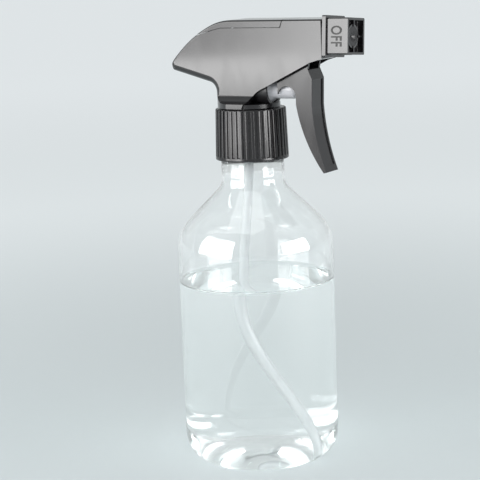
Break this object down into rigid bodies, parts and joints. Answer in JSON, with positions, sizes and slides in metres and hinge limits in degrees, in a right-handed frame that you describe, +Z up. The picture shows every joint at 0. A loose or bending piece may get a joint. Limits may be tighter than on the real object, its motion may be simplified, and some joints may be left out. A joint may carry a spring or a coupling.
{
  "type": "hand mister",
  "caption": "Clear round bottle with a black trigger spray head, ribbed screw closure, curved dip tube and turning square nozzle.",
  "frame": {"origin": "centre of the bottle's base on the surface it stands on, on the bottle's axis", "axes": "+Z up along the bottle's axis, +X the way the nozzle sprays, +Y to the sprayer's left"},
  "size_m": [0.0953, 0.0746, 0.213],
  "materials": {
    "clear_pet": "clear polished blown plastic",
    "black_pp": "semi-gloss moulded plastic",
    "gloss_black": "polished moulded plastic",
    "satin_black": "satin moulded plastic",
    "natural_pp": "natural milky moulded plastic",
    "tube_ldpe": "translucent extruded tube",
    "seal_foam": "closed-cell foam sheet",
    "seal_rubber": "smooth elastomer",
    "steel": "polished ball",
    "spring_steel": "drawn wire"
  },
  "bodies": {
    "bottle": {"bottle": "clear_pet"},
    "gasket": {"gasket": "seal_foam"},
    "closure": {"closure": "black_pp"},
    "head": {"neck_plug": "black_pp", "dip_tube": "tube_ldpe", "pump_body": "black_pp", "riser_plug": "black_pp", "outlet_spring": "spring_steel", "return_spring": "spring_steel", "shroud": "gloss_black", "top_cover": "gloss_black", "swirl_core": "natural_pp", "nozzle_seal": "seal_rubber"},
    "trigger": {"trigger": "satin_black"},
    "piston": {"piston": "natural_pp", "piston_seal": "seal_rubber"},
    "nozzle": {"nozzle_cap": "satin_black", "orifice_insert": "satin_black"},
    "inlet_ball": {"inlet_ball": "steel"},
    "outlet_ball": {"outlet_ball": "steel"}
  },
  "joints": [
    {"name": "cap_lift", "type": "slide", "parent": "bottle", "child": "gasket", "axis": [0, 0, 1], "range_m": [0, 0.0053]},
    {"name": "closure_turn", "type": "hinge", "parent": "gasket", "child": "closure", "pos_m": [0, 0, 0.158], "axis": [0, 0, 1], "range_deg": [0, 450]},
    {"name": "head_swivel", "type": "hinge", "parent": "gasket", "child": "head", "pos_m": [0, 0, 0.17], "axis": [0, 0, 1], "continuous": true},
    {"name": "trigger_pull", "type": "hinge", "parent": "head", "child": "trigger", "pos_m": [0.033, 0, 0.197], "axis": [0, 1, 0], "range_deg": [0, 15], "stiffness_Nm_per_rad": 0.5, "springref_deg": -17.19},
    {"name": "piston_stroke", "type": "slide", "parent": "head", "child": "piston", "axis": [-1, 0, 0], "range_m": [0, 0.0053], "deforming": ["return_spring"]},
    {"name": "nozzle_turn", "type": "hinge", "parent": "head", "child": "nozzle", "pos_m": [0.05, 0, 0.203], "axis": [1, 0, 0], "continuous": true},
    {"name": "inlet_lift", "type": "slide", "parent": "head", "child": "inlet_ball", "axis": [0, 0, 1], "range_m": [0, 0.0015]},
    {"name": "outlet_lift", "type": "slide", "parent": "head", "child": "outlet_ball", "axis": [0, 0, 1], "range_m": [0, 0.0012], "stiffness_N_per_m": 15, "springref_m": -0.002, "deforming": ["outlet_spring"]}
  ],
  "couplings": [
    {"joint": "cap_lift", "follows": "closure_turn", "m_per_rad": 0.00067322},
    {"joint": "piston_stroke", "follows": "trigger_pull", "m_per_rad": 0.0201}
  ]
}
